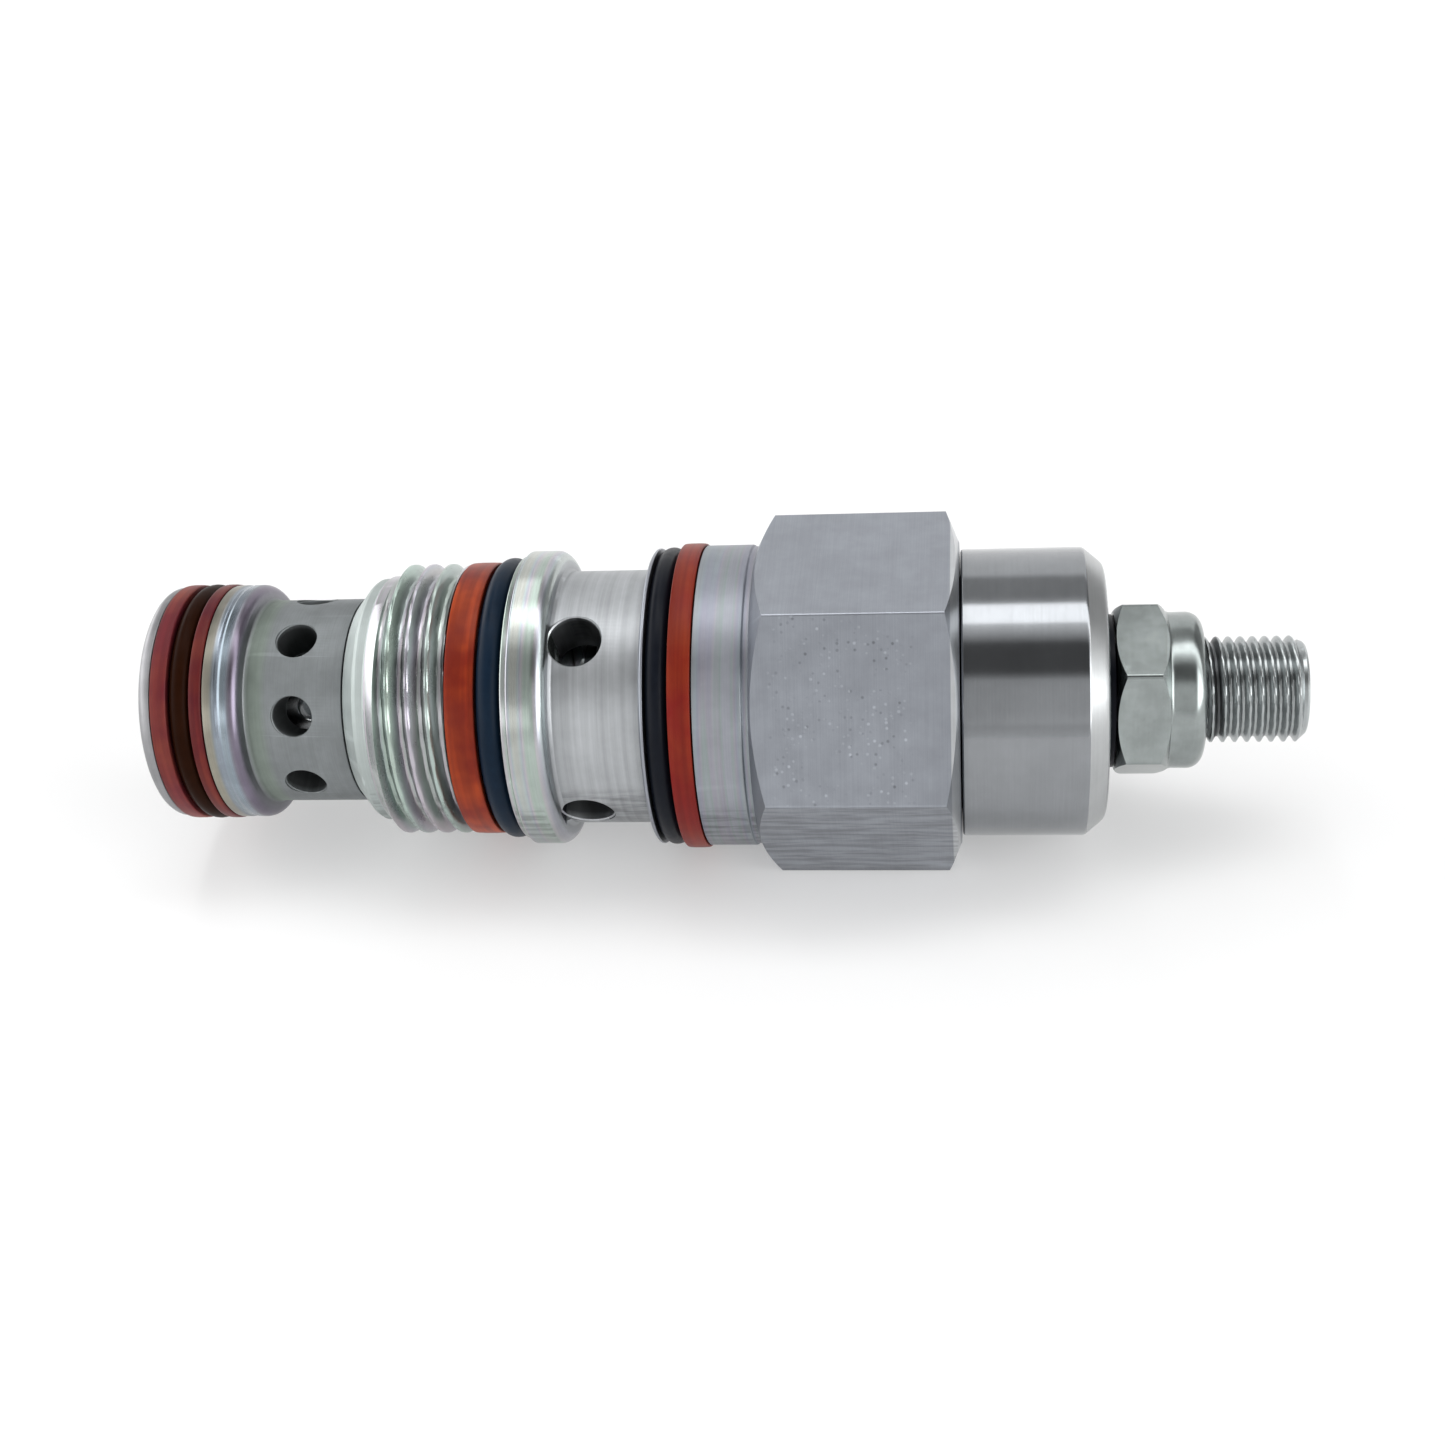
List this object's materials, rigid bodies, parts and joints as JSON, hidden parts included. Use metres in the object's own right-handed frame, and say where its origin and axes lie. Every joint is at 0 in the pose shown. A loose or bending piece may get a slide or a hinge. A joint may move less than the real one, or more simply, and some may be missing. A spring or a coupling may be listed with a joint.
{
  "type": "screw-in cartridge valve",
  "caption": "Screw-in hydraulic cartridge valve with a ported sleeve, sealed threaded body, wrench hexagon and an adjusting screw held by a locknut.",
  "frame": {"origin": "on the valve's axis, halfway between the nose face and the end of the adjusting screw", "axes": "+X along the valve's axis from the nose (port 1) to the adjusting screw, +Z out of a wrench flat, upwards as the valve lies on the opposite flat"},
  "size_m": [0.1044, 0.033, 0.0286],
  "materials": {
    "zinc_steel": "satin clear zinc plate on turned and milled steel",
    "grey_steel": "dull grey hardened steel, ground on the sealing lands",
    "turned_steel": "bright fine-turned steel",
    "bright_zinc": "bright zinc plate",
    "hardened_steel": "ground hardened steel",
    "spring_steel": "drawn spring wire",
    "orifice_brass": "turned brass",
    "seal_rubber": "black nitrile rubber with a light oil sheen",
    "backup_polymer": "brick-red polyester, satin"
  },
  "bodies": {
    "housing": {"hex_body": "zinc_steel", "ported_sleeve": "grey_steel", "sleeve_retaining_ring": "spring_steel", "sleeve_o_ring": "seal_rubber", "adjuster_cap": "turned_steel", "cap_o_ring": "seal_rubber", "nose_backup_front": "backup_polymer", "nose_o_ring": "seal_rubber", "nose_backup_rear": "backup_polymer", "shoulder_backup_ring": "backup_polymer", "shoulder_o_ring": "seal_rubber", "upper_o_ring": "seal_rubber", "upper_backup_ring": "backup_polymer", "spool_stop_ring": "spring_steel", "pilot_screen": "orifice_brass", "pilot_seat": "hardened_steel", "seat_o_ring": "seal_rubber", "main_spring": "spring_steel", "control_spring": "spring_steel"},
    "spool": {"spool": "hardened_steel", "spool_orifice": "orifice_brass"},
    "poppet": {"pilot_poppet": "hardened_steel", "poppet_spring_seat": "hardened_steel"},
    "spring_button": {"spring_button": "hardened_steel"},
    "adjust_screw": {"adjust_screw": "bright_zinc", "screw_o_ring": "seal_rubber", "screw_stop_ring": "spring_steel"},
    "locknut_washer": {"locknut_washer": "seal_rubber"},
    "locknut": {"locknut": "bright_zinc"}
  },
  "joints": [
    {"name": "spool_slide", "type": "slide", "parent": "housing", "child": "spool", "axis": [1, 0, 0], "range_m": [0, 0.0042], "stiffness_N_per_m": 1500, "springref_m": -0.001, "deforming": ["main_spring"]},
    {"name": "poppet_lift", "type": "slide", "parent": "housing", "child": "poppet", "axis": [1, 0, 0], "range_m": [0, 0.001], "stiffness_N_per_m": 2000, "springref_m": -0.001, "deforming": ["control_spring"]},
    {"name": "spring_button_travel", "type": "slide", "parent": "housing", "child": "spring_button", "axis": [1, 0, 0], "range_m": [-0.00371, 0.00159], "deforming": ["control_spring"]},
    {"name": "adjust_screw_turn", "type": "hinge", "parent": "spring_button", "child": "adjust_screw", "pos_m": [0.035, 0, 0], "axis": [1, 0, 0], "range_deg": [-1260, 540]},
    {"name": "locknut_travel", "type": "slide", "parent": "housing", "child": "locknut_washer", "axis": [1, 0, 0], "range_m": [0, 0.00318]},
    {"name": "locknut_turn", "type": "hinge", "parent": "locknut_washer", "child": "locknut", "pos_m": [0.038, 0, 0], "axis": [1, 0, 0], "range_deg": [0, 1080]}
  ],
  "couplings": [
    {"joint": "spring_button_travel", "follows": "adjust_screw_turn", "m_per_rad": 0.00016844},
    {"joint": "locknut_travel", "follows": "locknut_turn", "m_per_rad": 0.00016844}
  ]
}
